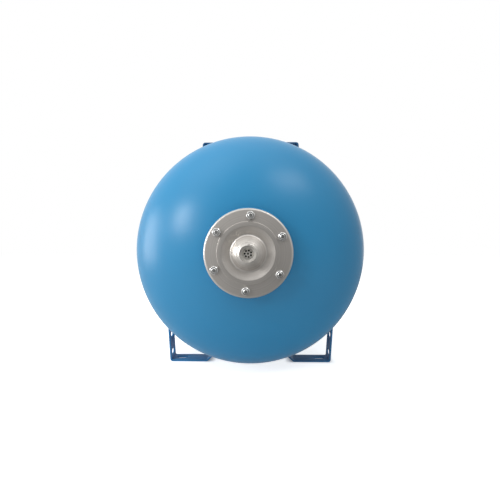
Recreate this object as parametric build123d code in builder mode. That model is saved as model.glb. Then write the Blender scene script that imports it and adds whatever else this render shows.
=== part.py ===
from build123d import *
import math
import os

# Horizontal pressure tank for water supply: a painted steel vessel with a rubber membrane inside.
# The vessel lies along Y and its cover flange faces -Y. X runs to the right, Z is up from the soles.
# The origin is the centre of the footprint. Lengths are in millimetres and angles in degrees.

# Vessel: a rolled barrel between two elliptical heads
vessel_radius = 225.0
sheet = 2.0
straight_length = 360.0
head_depth = 112.5
skirt = 25.0
joggle_length = 12.0
joggle_clearance = 0.2
ground_clearance = 15.0
girth_bead_width = 8.0
girth_bead_rise = 1.5
seam_bead_width = 7.0
seam_bead_rise = 1.2

# Neck ring round the front opening
opening_radius = 50.0
ring_rise = 10.0
ring_weld = 6.0
lip_width = 6.0
lip_thickness = 3.0

# Cover flange: pressed sheet with a turned-back rim, a clamping band, a channel and a cone
cover_radius = 75.0
cover_sheet = 3.0
rim_length = 6.0
rim_inner_bend = 1.0
rim_clearance = 0.5
band_outer_radius = 52.0
band_inner_radius = 45.0
band_rise = 1.2
band_round = 3.2
step_round = 1.0
channel_radius = 30.5
channel_depth = 4.5
channel_round = 4.0
cone_radius = 19.0
cone_rise = 8.0
cone_inner_bend = 1.0

# Water nipple with the outside diameter of a G1 thread
nipple_radius = 16.6
nipple_reach = 30.0
nipple_chamfer = 1.5
nipple_weld = 2.0
nipple_tail = 3.0
mouth_radius = 13.2
mouth_depth = 9.0
throat_radius = 11.0

# Strainer: a flanged cup in the mouth of the nipple
strainer_sheet = 0.8
strainer_clearance = 0.1
cup_radius = 9.4
cup_floor_radius = 7.4
cup_depth = 7.0
floor_hole_radius = 1.6
floor_hole_ring_radius = 5.3
floor_hole_count = 7
floor_hole_turn = 24.0
side_hole_radius = 0.9
side_hole_count = 14
side_hole_turn = 8.0

# Studs and hex nuts of the cover
stud_count = 6
stud_ring_radius = 62.5
stud_turn = 3.7
stud_radius = 4.0
stud_depth = 8.0
stud_proud = 2.0
stud_chamfer = 0.8
stud_hole_clearance = 0.5
thread_fit = 0.1
nut_flats = 13.0
nut_height = 6.5
nut_face_share = 0.95
nut_chamfer_angle = 30.0

# Membrane: rubber bag with a collar that is clamped under the cover
membrane_wall = 2.0
collar_clearance = 1.0
bag_radius = 150.0
bag_length = 380.0
bag_setback = 10.0

# Feet and pump brackets: bent strips welded to the barrel
strip_width = 40.0
strip_sheet = 3.0
strip_bend = 3.0
strip_weld = 3.0
strip_weld_inset = 2.0
foot_inset = 53.0
foot_base_length = 79.0
foot_lean = 3.5
foot_toe_angle = 42.0
foot_setback = 42.5
foot_slot_inset = 22.0
foot_slot_length = 24.0
foot_slot_width = 10.0
leg_slot_length = 22.0
leg_slot_width = 12.0
lower_slot_height = 17.0
upper_slot_height = 55.0
bracket_half_width = 107.0
bracket_rise = 15.0
bracket_lean = 4.5
bracket_setback = 89.0
bracket_slot_inset = 37.0
bracket_slot_length = 36.0
bracket_slot_width = 10.0

# Air valve at the centre of the rear head
boss_radius = 14.0
boss_rise = 8.0
boss_depth = 6.0
boss_weld = 3.0
gasket_radius = 10.0
gasket_thickness = 1.5
hex_flats = 17.0
hex_height = 5.0
shank_radius = 6.0
shank_length = 10.0
stem_neck_radius = 5.0
stem_neck_length = 7.0
stem_thread_radius = 3.85
stem_thread_length = 9.0
stem_bore_radius = 2.6
passage_radius = 1.6
core_fit = 0.05
core_inset = 1.0
core_length = 14.0
core_top_length = 2.5
core_floor_length = 2.0
spring_room_radius = 1.7
pin_radius = 0.8
pin_fit = 0.08
pin_inset = 0.5
pin_travel = 1.3
pin_disc_radius = 1.5
pin_disc_length = 1.0
pin_collar_radius = 1.4
pin_collar_length = 0.8
pin_stop_clearance = 0.05
spring_radius = 1.25
spring_wire_radius = 0.15
spring_turns = 6

# Caps over the valve
dust_cap_wall = 1.3
dust_cap_top = 1.8
cap_thread_fit = 0.08
cap_end_clearance = 0.3
guard_radius = 28.0
guard_wall = 2.0
guard_rise = 37.0
sleeve_wall = 2.0
sleeve_fit = 0.08
guard_rib_count = 24
guard_rib_radius = 0.8
guard_rib_margin = 3.0

# Stations along Y that follow from the sizes above
front_reach = straight_length / 2 + head_depth + ring_rise + cover_sheet + nipple_reach
rear_reach = straight_length / 2 + head_depth + guard_rise
mid_y = (front_reach - rear_reach) / 2
front_shoulder = mid_y - straight_length / 2
rear_shoulder = mid_y + straight_length / 2
front_apex = front_shoulder - head_depth
rear_apex = rear_shoulder + head_depth
ring_front = front_apex - ring_rise
cover_face = ring_front - cover_sheet
nipple_end = cover_face - nipple_reach
ring_radius = cover_radius - cover_sheet - rim_clearance
ring_edge = rim_inner_bend + rim_clearance
lip_radius = opening_radius + lip_width
collar_radius = opening_radius - collar_clearance

# Heights and half widths that follow from the sizes above
axis_height = vessel_radius + ground_clearance
bracket_height = axis_height + vessel_radius + bracket_rise
foot_spread = vessel_radius - foot_inset
foot_toe = foot_spread - foot_base_length

tank_axis = Axis((0, 0, axis_height), (0, 1, 0))
section = Plane(origin=(0, 0, axis_height), x_dir=(0, 1, 0), z_dir=(1, 0, 0))


def across(y):
    """Plane square to the tank's axis at y, facing forwards, centred on the axis."""
    return Plane(origin=(0, y, axis_height), x_dir=(1, 0, 0), z_dir=(0, -1, 0))


def head_face(radius):
    """How far the outside of a head stands beyond its shoulder at this radius."""
    return head_depth * math.sqrt(1 - (radius / vessel_radius) ** 2)


def stud_places():
    """The places of the studs round the centre of the cover."""
    return PolarLocations(stud_ring_radius, stud_count, start_angle=90 - stud_turn)


def domed_head(shoulder_y, outward, hole_radius):
    """Elliptical head with a skirt, a stepped edge that fits in the barrel and a central hole."""
    skirt_end = shoulder_y - outward * skirt
    step_radius = vessel_radius - sheet - joggle_clearance
    with BuildPart() as head:
        with BuildSketch(section):
            with Locations((shoulder_y, 0)):
                Ellipse(head_depth, vessel_radius)
                Ellipse(head_depth - sheet, vessel_radius - sheet, mode=Mode.SUBTRACT)
            with Locations((shoulder_y + outward * head_depth / 2, vessel_radius / 2)):
                Rectangle(head_depth, vessel_radius, mode=Mode.INTERSECT)
            with Locations((shoulder_y - outward * skirt / 2, vessel_radius - sheet / 2)):
                Rectangle(skirt, sheet)
            with Locations((skirt_end + outward * sheet / 2, vessel_radius)):
                web_height = vessel_radius - step_radius + sheet
                Rectangle(sheet, web_height, align=(Align.CENTER, Align.MAX))
            with Locations((skirt_end, step_radius)):
                tail_side = Align.MAX if outward > 0 else Align.MIN
                Rectangle(joggle_length, sheet, align=(tail_side, Align.MAX))
        revolve(axis=tank_axis)
        with BuildSketch(across(shoulder_y)):
            Circle(hole_radius)
        extrude(amount=-outward * head_depth, mode=Mode.SUBTRACT)
    return head.part


def meeting_place(x, height, angle):
    """Where a line that starts outside the vessel, at this angle from X, first meets its barrel."""
    across = math.cos(math.radians(angle))
    up = math.sin(math.radians(angle))
    along = x * across + (height - axis_height) * up
    off = math.hypot(x, height - axis_height)
    reach = -along - math.sqrt(along**2 - off**2 + vessel_radius**2)
    return x + reach * across, height + reach * up


def foot(foot_y):
    """Left-hand foot: a strip bent into an outer leg, a slotted base and a slanted inner leg."""
    lean = math.radians(foot_lean)
    toe_rise = foot_toe * math.tan(math.radians(foot_toe_angle))
    with BuildPart() as strip:
        with BuildSketch(Plane.XZ.offset(-foot_y)):
            with BuildLine():
                FilletPolyline(
                    (-foot_spread - axis_height * math.tan(lean), axis_height),
                    (-foot_spread, 0),
                    (-foot_toe, 0),
                    (0, toe_rise),
                    radius=strip_bend + strip_sheet,
                )
                offset(amount=strip_sheet, side=Side.LEFT)
            make_face()
        extrude(amount=strip_width / 2, both=True)
        with BuildSketch(Plane.XZ.offset(-foot_y)):
            with Locations(
                meeting_place(-foot_spread, 0, 90 + foot_lean),
                meeting_place(-foot_toe, 0, foot_toe_angle),
            ):
                Circle(strip_weld)
        extrude(amount=strip_width / 2 - strip_weld_inset, both=True)
        add(vessel_envelope.part, mode=Mode.SUBTRACT)
        with BuildSketch(Plane.XY):
            with Locations((foot_slot_inset - foot_spread, foot_y)):
                SlotOverall(foot_slot_length, foot_slot_width)
        extrude(amount=strip_sheet, mode=Mode.SUBTRACT)
        for height in (lower_slot_height, upper_slot_height):
            leg_face = Plane(
                origin=(-foot_spread - height * math.tan(lean), foot_y, height),
                x_dir=(0, 1, 0),
                z_dir=(-math.cos(lean), 0, -math.sin(lean)),
            )
            with BuildSketch(leg_face):
                SlotOverall(leg_slot_length, leg_slot_width)
            extrude(amount=-2 * strip_sheet, mode=Mode.SUBTRACT)
    return strip.part


def pump_bracket(bracket_y):
    """Inverted U of bent strip on top of the barrel, with a slot near each end."""
    drop = bracket_height - axis_height
    flare = drop * math.tan(math.radians(bracket_lean))
    with BuildPart() as strip:
        with BuildSketch(Plane.XZ.offset(-bracket_y)):
            with BuildLine():
                FilletPolyline(
                    (-bracket_half_width - flare, axis_height),
                    (-bracket_half_width, bracket_height),
                    (bracket_half_width, bracket_height),
                    (bracket_half_width + flare, axis_height),
                    radius=strip_bend + strip_sheet,
                )
                offset(amount=strip_sheet, side=Side.RIGHT)
            make_face()
        extrude(amount=strip_width / 2, both=True)
        side_x, side_z = meeting_place(-bracket_half_width, bracket_height, 270 - bracket_lean)
        with BuildSketch(Plane.XZ.offset(-bracket_y)):
            with Locations((side_x, side_z), (-side_x, side_z)):
                Circle(strip_weld)
        extrude(amount=strip_width / 2 - strip_weld_inset, both=True)
        add(vessel_envelope.part, mode=Mode.SUBTRACT)
        with BuildSketch(Plane.XY.offset(bracket_height)):
            with Locations((0, bracket_y)):
                with GridLocations(2 * (bracket_half_width - bracket_slot_inset), 0, 2, 1):
                    SlotOverall(bracket_slot_length, bracket_slot_width)
        extrude(amount=-strip_sheet, mode=Mode.SUBTRACT)
    return strip.part


# Outer form of the closed vessel, used only to trim what is welded on to it
with BuildPart() as vessel_envelope:
    with BuildSketch(section):
        with Locations((front_shoulder, 0), (rear_shoulder, 0)):
            Ellipse(head_depth, vessel_radius)
        with Locations((mid_y, 0)):
            Rectangle(straight_length, 2 * vessel_radius)
        with Locations((mid_y, vessel_radius / 2)):
            Rectangle(straight_length + 2 * head_depth, vessel_radius, mode=Mode.INTERSECT)
    revolve(axis=tank_axis)

# Barrel with its two girth beads and the bead of the longitudinal seam underneath
front_edge = front_shoulder + skirt
rear_edge = rear_shoulder - skirt
with BuildPart() as barrel:
    with BuildSketch(section):
        with Locations((mid_y, vessel_radius - sheet / 2)):
            Rectangle(rear_edge - front_edge, sheet)
        for edge_y in (front_edge, rear_edge):
            with BuildLine():
                bead = ThreePointArc(
                    (edge_y - girth_bead_width / 2, vessel_radius),
                    (edge_y, vessel_radius + girth_bead_rise),
                    (edge_y + girth_bead_width / 2, vessel_radius),
                )
                Line(bead @ 1, bead @ 0)
            make_face()
    revolve(axis=tank_axis)
    with BuildSketch(across(front_edge)):
        with BuildLine():
            seam = ThreePointArc(
                (-seam_bead_width / 2, -vessel_radius + sheet / 2),
                (0, -vessel_radius - seam_bead_rise),
                (seam_bead_width / 2, -vessel_radius + sheet / 2),
            )
            Line(seam @ 1, seam @ 0)
        make_face()
    extrude(amount=front_edge - rear_edge)

with BuildPart() as front_head:
    add(domed_head(front_shoulder, -1, opening_radius))

with BuildPart() as rear_head:
    add(domed_head(rear_shoulder, 1, boss_radius))

# Neck ring, dished to the head behind it, with its weld, the lip's recess and the stud holes
with BuildPart() as neck_ring:
    weld_radius = ring_radius + ring_weld
    with BuildSketch(section):
        with BuildLine():
            Polyline(
                (ring_front, opening_radius),
                (ring_front, ring_radius - ring_edge),
                (ring_front + ring_edge, ring_radius),
                (front_shoulder - head_face(ring_radius) - ring_weld, ring_radius),
                (front_shoulder - head_face(weld_radius), weld_radius),
                (front_shoulder, weld_radius),
                (front_shoulder, opening_radius),
                close=True,
            )
        make_face()
    revolve(axis=tank_axis)
    add(vessel_envelope.part, mode=Mode.SUBTRACT)
    with BuildSketch(across(ring_front)):
        Circle(lip_radius)
    extrude(amount=-lip_thickness, mode=Mode.SUBTRACT)
    with BuildSketch(across(ring_front)):
        with stud_places():
            Circle(stud_radius + thread_fit)
    extrude(amount=-stud_depth, mode=Mode.SUBTRACT)

# Membrane: lip in the ring's recess, collar through the neck and a long bag in the vessel
with BuildPart() as membrane:
    bag_front = front_apex + sheet + bag_setback
    bag_middle = bag_front + bag_length / 2
    with BuildSketch(section):
        with Locations((bag_middle, 0)):
            Ellipse(bag_length / 2, bag_radius)
        with Locations((ring_front, 0)):
            Rectangle(bag_middle - ring_front, 2 * collar_radius, align=(Align.MIN, Align.CENTER))
            Rectangle(lip_thickness, 2 * lip_radius, align=(Align.MIN, Align.CENTER))
        with Locations((bag_middle, 0)):
            Ellipse(bag_length / 2 - membrane_wall, bag_radius - membrane_wall, mode=Mode.SUBTRACT)
        with Locations((ring_front, 0)):
            Rectangle(
                bag_middle - ring_front,
                2 * (collar_radius - membrane_wall),
                align=(Align.MIN, Align.CENTER),
                mode=Mode.SUBTRACT,
            )
        with Locations((ring_front, 0)):
            Rectangle(
                bag_front + bag_length - ring_front,
                max(bag_radius, lip_radius),
                align=(Align.MIN, Align.MIN),
                mode=Mode.INTERSECT,
            )
    revolve(axis=tank_axis)

# Cover flange: one pressed sheet of even thickness, drawn along its front face
with BuildPart() as flange_cover:
    with BuildSketch(section):
        with BuildLine():
            FilletPolyline(
                (cover_face - cone_rise, nipple_radius),
                (cover_face - cone_rise, cone_radius),
                (cover_face + channel_depth, channel_radius),
                (cover_face - band_rise, band_inner_radius),
                (cover_face - band_rise, band_outer_radius),
                (cover_face, band_outer_radius + band_rise),
                (cover_face, cover_radius),
                (cover_face + rim_length, cover_radius),
                radius=[
                    cone_inner_bend + cover_sheet,
                    channel_round,
                    band_round,
                    step_round,
                    step_round,
                    rim_inner_bend + cover_sheet,
                ],
            )
            offset(amount=cover_sheet, side=Side.RIGHT)
        make_face()
    revolve(axis=tank_axis)
    with BuildSketch(across(cover_face)):
        with stud_places():
            Circle(stud_radius + stud_hole_clearance)
    extrude(amount=-cover_sheet, mode=Mode.SUBTRACT)

# Water nipple, welded into the top of the cone, with a shoulder in its bore for the strainer
with BuildPart() as water_nipple:
    land_y = cover_face - cone_rise
    tail_y = land_y + cover_sheet + nipple_tail
    shoulder_y = nipple_end + mouth_depth
    with BuildSketch(section):
        with BuildLine():
            Polyline(
                (nipple_end, mouth_radius),
                (nipple_end, nipple_radius - nipple_chamfer),
                (nipple_end + nipple_chamfer, nipple_radius),
                (land_y - nipple_weld, nipple_radius),
                (land_y, nipple_radius + nipple_weld),
                (land_y, nipple_radius),
                (tail_y, nipple_radius),
                (tail_y, throat_radius),
                (shoulder_y, throat_radius),
                (shoulder_y, mouth_radius),
                close=True,
            )
        make_face()
    revolve(axis=tank_axis)

# Strainer: its flange rests on the shoulder and its cup hangs in the throat
with BuildPart() as nipple_strainer:
    flange_y = shoulder_y - strainer_sheet
    floor_y = flange_y + cup_depth
    with BuildSketch(section):
        with BuildLine():
            Polyline(
                (flange_y, mouth_radius - strainer_clearance),
                (shoulder_y, mouth_radius - strainer_clearance),
                (shoulder_y, cup_radius + strainer_sheet),
                (floor_y + strainer_sheet, cup_floor_radius + strainer_sheet),
                (floor_y + strainer_sheet, 0),
                (floor_y, 0),
                (floor_y, cup_floor_radius),
                (flange_y, cup_radius),
                close=True,
            )
        make_face()
    revolve(axis=tank_axis)
    with BuildSketch(across(flange_y)):
        Circle(floor_hole_radius)
        with PolarLocations(floor_hole_ring_radius, floor_hole_count, start_angle=floor_hole_turn):
            Circle(floor_hole_radius)
    extrude(amount=-cup_depth - strainer_sheet, mode=Mode.SUBTRACT)
    wall_radius = (cup_radius + cup_floor_radius + strainer_sheet) / 2
    with Locations(across((shoulder_y + floor_y) / 2)):
        with PolarLocations(wall_radius, side_hole_count, start_angle=side_hole_turn):
            Cylinder(side_hole_radius, 4 * strainer_sheet, rotation=(0, 90, 0), mode=Mode.SUBTRACT)

# Studs in the neck ring
with BuildPart(across(ring_front)) as cover_studs:
    stud_length = stud_depth + cover_sheet + nut_height + stud_proud
    with stud_places():
        with Locations((0, 0, -stud_depth)):
            Cylinder(stud_radius, stud_length, align=(Align.CENTER, Align.CENTER, Align.MIN))
    chamfer(cover_studs.faces().group_by(Axis.Y)[0].edges(), length=stud_chamfer)

# One hex nut, chamfered at both ends, and the ring of nuts on the studs
with BuildPart() as nut:
    corner_radius = nut_flats / math.sqrt(3)
    face_radius = nut_flats / 2 * nut_face_share
    chamfer_height = (corner_radius - face_radius) * math.tan(math.radians(nut_chamfer_angle))
    with BuildSketch():
        RegularPolygon(nut_flats / 2, 6, major_radius=False)
        Circle(stud_radius + thread_fit, mode=Mode.SUBTRACT)
    extrude(amount=nut_height)
    with BuildSketch(Plane.XZ):
        with BuildLine():
            Polyline(
                (0, 0),
                (face_radius, 0),
                (corner_radius, chamfer_height),
                (corner_radius, nut_height - chamfer_height),
                (face_radius, nut_height),
                (0, nut_height),
                close=True,
            )
        make_face()
    revolve(axis=Axis.Z, mode=Mode.INTERSECT)

with BuildPart(across(cover_face)) as cover_nuts:
    with stud_places():
        add(nut.part)

# Air valve boss with its weld on the rear head
boss_end = rear_apex + boss_rise
with BuildPart() as valve_boss:
    with BuildSketch(section):
        with BuildLine():
            Polyline(
                (rear_apex + boss_weld, boss_radius),
                (rear_shoulder + head_face(boss_radius + boss_weld), boss_radius + boss_weld),
                (rear_shoulder, boss_radius + boss_weld),
                (rear_shoulder, boss_radius),
                close=True,
            )
        make_face()
    revolve(axis=tank_axis)
    add(vessel_envelope.part, mode=Mode.SUBTRACT)
    with BuildSketch(across(boss_end)):
        Circle(boss_radius)
        Circle(shank_radius + thread_fit, mode=Mode.SUBTRACT)
    extrude(amount=boss_rise + boss_depth)

with BuildPart() as valve_gasket:
    seat_y = boss_end + gasket_thickness
    with BuildSketch(across(seat_y)):
        Circle(gasket_radius)
        Circle(shank_radius + thread_fit, mode=Mode.SUBTRACT)
    extrude(amount=gasket_thickness)

# Brass stem: threaded shank in the boss, hexagon on the gasket, neck and cap thread
hex_end = seat_y + hex_height
neck_end = hex_end + stem_neck_length
stem_end = neck_end + stem_thread_length
core_end = stem_end - core_inset
core_floor = core_end - core_length
with BuildPart() as valve_stem:
    with BuildSketch(across(hex_end)):
        RegularPolygon(hex_flats / 2, 6, major_radius=False)
    extrude(amount=hex_height)
    with BuildSketch(across(seat_y)):
        Circle(shank_radius)
    extrude(amount=shank_length)
    with BuildSketch(across(neck_end)):
        Circle(stem_neck_radius)
    extrude(amount=stem_neck_length)
    with BuildSketch(across(stem_end)):
        Circle(stem_thread_radius)
    extrude(amount=stem_thread_length)
    with BuildSketch(across(stem_end)):
        Circle(stem_bore_radius)
    bore_depth = core_inset + core_length + pin_disc_length + 2 * pin_travel
    extrude(amount=bore_depth, mode=Mode.SUBTRACT)
    with BuildSketch(across(stem_end)):
        Circle(passage_radius)
    extrude(amount=stem_end - seat_y + shank_length, mode=Mode.SUBTRACT)

# Valve core: a brass body with a chamber for the spring between its top and its floor
spring_top = core_end - core_top_length
spring_floor = core_floor + core_floor_length
pin_hole_radius = pin_radius + pin_fit
with BuildPart() as valve_core:
    with BuildSketch(across(core_end)):
        Circle(stem_bore_radius - core_fit)
        Circle(pin_hole_radius, mode=Mode.SUBTRACT)
    extrude(amount=core_length)
    with BuildSketch(across(spring_top)):
        Circle(spring_room_radius)
    extrude(amount=spring_top - spring_floor, mode=Mode.SUBTRACT)

# Valve pin: shaft, collar above the spring and sealing disc below the core
collar_top = spring_top - pin_stop_clearance
collar_floor = collar_top - pin_collar_length
disc_top = core_floor - pin_stop_clearance
with BuildPart() as valve_pin:
    with BuildSketch(across(stem_end - pin_inset)):
        Circle(pin_radius)
    extrude(amount=stem_end - pin_inset - disc_top + pin_disc_length)
    with BuildSketch(across(collar_top)):
        Circle(pin_collar_radius)
    extrude(amount=pin_collar_length)
    with BuildSketch(across(disc_top)):
        Circle(pin_disc_radius)
    extrude(amount=pin_disc_length)

# Valve spring between the collar and the floor of the chamber
with BuildPart() as valve_spring:
    spring_length = collar_floor - spring_floor - 2 * spring_wire_radius - 2 * pin_stop_clearance
    with BuildLine():
        coil = Helix(
            spring_length / spring_turns,
            spring_length,
            spring_radius,
            center=(0, collar_floor - spring_wire_radius - pin_stop_clearance, axis_height),
            direction=(0, -1, 0),
        )
    with BuildSketch(Plane(origin=coil @ 0, z_dir=coil % 0)):
        Circle(spring_wire_radius)
    sweep(path=coil, is_frenet=True)

# Dust cap on the stem's thread
with BuildPart() as valve_dust_cap:
    dust_bore_radius = stem_thread_radius + cap_thread_fit
    dust_end = stem_end + cap_end_clearance + dust_cap_top
    dust_length = dust_end - neck_end - cap_end_clearance
    with BuildSketch(across(dust_end)):
        Circle(dust_bore_radius + dust_cap_wall)
    extrude(amount=dust_length)
    with BuildSketch(across(dust_end - dust_cap_top)):
        Circle(dust_bore_radius)
    extrude(amount=dust_length - dust_cap_top, mode=Mode.SUBTRACT)

# Guard cap over the whole valve: ribbed skirt, end wall and a sleeve that grips the boss
guard_end = rear_apex + guard_rise
guard_inner_radius = guard_radius - guard_rib_radius - guard_wall
guard_floor = rear_shoulder + head_face(guard_inner_radius) + cap_end_clearance
with BuildPart() as valve_guard_cap:
    with BuildSketch(across(guard_end)):
        Circle(guard_radius - guard_rib_radius)
    extrude(amount=guard_end - guard_floor)
    chamfer(valve_guard_cap.faces().sort_by(Axis.Y)[-1].edges(), length=guard_wall)
    with BuildSketch(across(guard_end - guard_wall)):
        Circle(guard_inner_radius)
    extrude(amount=guard_end - guard_wall - guard_floor, mode=Mode.SUBTRACT)
    with BuildSketch(across(guard_end - guard_wall)):
        Circle(boss_radius + sleeve_fit + sleeve_wall)
        Circle(boss_radius + sleeve_fit, mode=Mode.SUBTRACT)
    extrude(amount=guard_end - guard_wall - rear_apex - boss_weld - cap_end_clearance)
    with BuildSketch(across(guard_end - guard_rib_margin)):
        with PolarLocations(guard_radius - guard_rib_radius, guard_rib_count):
            Circle(guard_rib_radius)
    extrude(amount=guard_end - guard_floor - 2 * guard_rib_margin)

front_foot_y = front_shoulder + foot_setback + strip_width / 2
rear_foot_y = rear_shoulder - foot_setback - strip_width / 2
with BuildPart() as foot_front_left:
    add(foot(front_foot_y))

with BuildPart() as foot_front_right:
    mirror(foot_front_left.part, about=Plane.YZ)

with BuildPart() as foot_rear_left:
    add(foot(rear_foot_y))

with BuildPart() as foot_rear_right:
    mirror(foot_rear_left.part, about=Plane.YZ)

with BuildPart() as pump_bracket_front:
    add(pump_bracket(front_shoulder + bracket_setback + strip_width / 2))

with BuildPart() as pump_bracket_rear:
    add(pump_bracket(rear_shoulder - bracket_setback - strip_width / 2))

pieces = {
    "barrel": barrel,
    "front_head": front_head,
    "rear_head": rear_head,
    "neck_ring": neck_ring,
    "membrane": membrane,
    "flange_cover": flange_cover,
    "water_nipple": water_nipple,
    "nipple_strainer": nipple_strainer,
    "cover_studs": cover_studs,
    "cover_nuts": cover_nuts,
    "foot_front_left": foot_front_left,
    "foot_front_right": foot_front_right,
    "foot_rear_left": foot_rear_left,
    "foot_rear_right": foot_rear_right,
    "pump_bracket_front": pump_bracket_front,
    "pump_bracket_rear": pump_bracket_rear,
    "valve_boss": valve_boss,
    "valve_gasket": valve_gasket,
    "valve_stem": valve_stem,
    "valve_core": valve_core,
    "valve_pin": valve_pin,
    "valve_spring": valve_spring,
    "valve_dust_cap": valve_dust_cap,
    "valve_guard_cap": valve_guard_cap,
}

os.makedirs("parts", exist_ok=True)
for name, piece in pieces.items():
    piece.part.label = name
    export_step(piece.part, f"parts/{name}.step")
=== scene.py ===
"""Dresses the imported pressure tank: painted vessel, cover flange, feet, brackets and air valve."""

import logging
import math
from collections.abc import Callable, Sequence
from dataclasses import dataclass
from enum import Enum

import bmesh
import bpy
from mathutils import Matrix, Vector


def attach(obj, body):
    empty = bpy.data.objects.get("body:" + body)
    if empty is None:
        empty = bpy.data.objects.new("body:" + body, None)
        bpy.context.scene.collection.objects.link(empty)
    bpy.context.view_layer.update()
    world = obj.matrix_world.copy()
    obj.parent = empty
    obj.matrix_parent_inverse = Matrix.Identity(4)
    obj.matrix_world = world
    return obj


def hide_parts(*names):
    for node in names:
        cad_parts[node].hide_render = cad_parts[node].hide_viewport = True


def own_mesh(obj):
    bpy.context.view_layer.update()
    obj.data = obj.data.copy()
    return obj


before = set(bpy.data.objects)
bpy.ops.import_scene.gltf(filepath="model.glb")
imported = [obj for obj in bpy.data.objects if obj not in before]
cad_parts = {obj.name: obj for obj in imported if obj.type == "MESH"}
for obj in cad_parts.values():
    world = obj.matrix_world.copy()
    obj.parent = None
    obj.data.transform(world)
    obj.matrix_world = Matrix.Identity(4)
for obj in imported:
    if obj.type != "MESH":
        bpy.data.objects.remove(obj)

log = logging.getLogger("pressure_tank")

MM = 0.001
MERGE = 0.002 * MM
FULL_TURN = 2 * math.pi
NEARLY_STRAIGHT = math.radians(89.5)
AXIS_HEIGHT = 240.0
Point = tuple[float, float]
Corner = tuple[float, float, float]
Piece = bpy.types.Object
TANK_AXIS: Point = (0.0, AXIS_HEIGHT)
BENCH_AXIS: Point = (0.0, 0.0)
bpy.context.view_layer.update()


class Cut(Enum):
    """What a Boolean tool does to a piece."""

    REMOVE = "DIFFERENCE"
    KEEP_COMMON = "INTERSECT"


class Side(Enum):
    """Left or right of the tank, seen from the cover."""

    LEFT = -1
    RIGHT = 1


def spot(x: float, y: float, z: float) -> Vector:
    """Place in metres of a point given in millimetres."""
    return Vector((x, y, z)) * MM


def shift(x: float, y: float, z: float) -> Matrix:
    """Move by millimetres."""
    return Matrix.Translation(spot(x, y, z))


def rounded(corners: Sequence[Corner], step: float = 9.0) -> list[Point]:
    """Outline through corners that are each rounded by an arc.

    Args:
        corners: first and second coordinate and radius of each corner, in millimetres.
        step: turn of each piece of an arc, in degrees.

    Returns:
        The points of the outline, with the first and last corner kept.
    """
    points: list[Point] = [corners[0][:2]]
    for before, corner, after in zip(corners, corners[1:], corners[2:]):
        here = Vector(corner[:2])
        to_before = (Vector(before[:2]) - here).normalized()
        to_after = (Vector(after[:2]) - here).normalized()
        half = to_before.angle(to_after) / 2
        radius = corner[2]
        if radius == 0 or half > NEARLY_STRAIGHT:
            points.append(corner[:2])
            continue
        middle = here + (to_before + to_after).normalized() * radius / math.sin(half)
        start = here + to_before * radius / math.tan(half) - middle
        end = here + to_after * radius / math.tan(half) - middle
        turn = math.atan2(start.x * end.y - start.y * end.x, start.dot(end))
        count = max(2, math.ceil(abs(math.degrees(turn)) / step))
        for index in range(count + 1):
            angle = turn * index / count
            cosine, sine = math.cos(angle), math.sin(angle)
            x = middle.x + start.x * cosine - start.y * sine
            y = middle.y + start.x * sine + start.y * cosine
            points.append((x, y))
    points.append(corners[-1][:2])
    return points


def walled(points: Sequence[Point], wall: float) -> list[Point]:
    """Closed outline of a sheet whose one face runs along the points.

    Args:
        points: the face of the sheet, in millimetres.
        wall: thickness of the sheet; it lies to the left of the points when positive.

    Returns:
        The face and, backwards, the other face.
    """
    back: list[Point] = []
    for index, point in enumerate(points):
        before = Vector(points[max(index - 1, 0)])
        after = Vector(points[min(index + 1, len(points) - 1)])
        here = Vector(point)
        runs = [run for run in (here - before, after - here) if run.length > 0]
        normals = [Vector((-run.y, run.x)).normalized() for run in runs]
        normal = sum(normals, Vector((0, 0))).normalized()
        reach = wall / normal.dot(normals[0])
        back.append((here.x + normal.x * reach, here.y + normal.y * reach))
    return [*points, *reversed(back)]


def bulged(start: Point, end: Point, bulge: Point, first: int = 1) -> list[Point]:
    """Face of a fillet weld, from toe to toe.

    Args:
        start: station and radius of one toe, in millimetres.
        end: station and radius of the other toe.
        bulge: how far the middle stands out, along both.
        first: 0 keeps the toes themselves and 1 leaves them out.

    Returns:
        The points of the face.
    """
    count = 6
    points: list[Point] = []
    for index in range(first, count + 1 - first):
        share = index / count
        rise = math.sin(math.pi * share)
        station = start[0] + (end[0] - start[0]) * share + bulge[0] * rise
        points.append((station, start[1] + (end[1] - start[1]) * share + bulge[1] * rise))
    return points


def capsule(length: float, width: float) -> list[Point]:
    """Outline of a slot with round ends, centred on zero.

    Args:
        length: overall length, in millimetres.
        width: width, in millimetres.

    Returns:
        The points of the outline.
    """
    points: list[Point] = []
    steps = 10
    for side in (1, -1):
        for index in range(steps + 1):
            angle = math.pi * (index / steps - 0.5)
            x = side * ((length - width) / 2 + width / 2 * math.cos(angle))
            points.append((x, side * width / 2 * math.sin(angle)))
    return points


def trace(name: str, points: Sequence[Vector]) -> Piece:
    """Starts a piece as a plane merged to one corner, extruded from point to point.

    Args:
        name: name of the piece.
        points: the corners of its line, in metres; a last one on the first closes it.

    Returns:
        The new object, in edit mode with all of it selected.
    """
    bpy.ops.object.select_all(action="DESELECT")
    bpy.ops.mesh.primitive_plane_add(size=MM)
    piece = bpy.context.object
    piece.name = piece.data.name = name
    bpy.ops.object.mode_set(mode="EDIT")
    bpy.ops.mesh.select_mode(type="VERT")
    bpy.ops.mesh.select_all(action="SELECT")
    bpy.ops.mesh.merge(type="CENTER")
    bpy.ops.transform.translate(value=points[0])
    for start, end in zip(points, points[1:]):
        bpy.ops.mesh.extrude_vertices_move(TRANSFORM_OT_translate={"value": end - start})
    bpy.ops.mesh.select_all(action="SELECT")
    return piece


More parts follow.
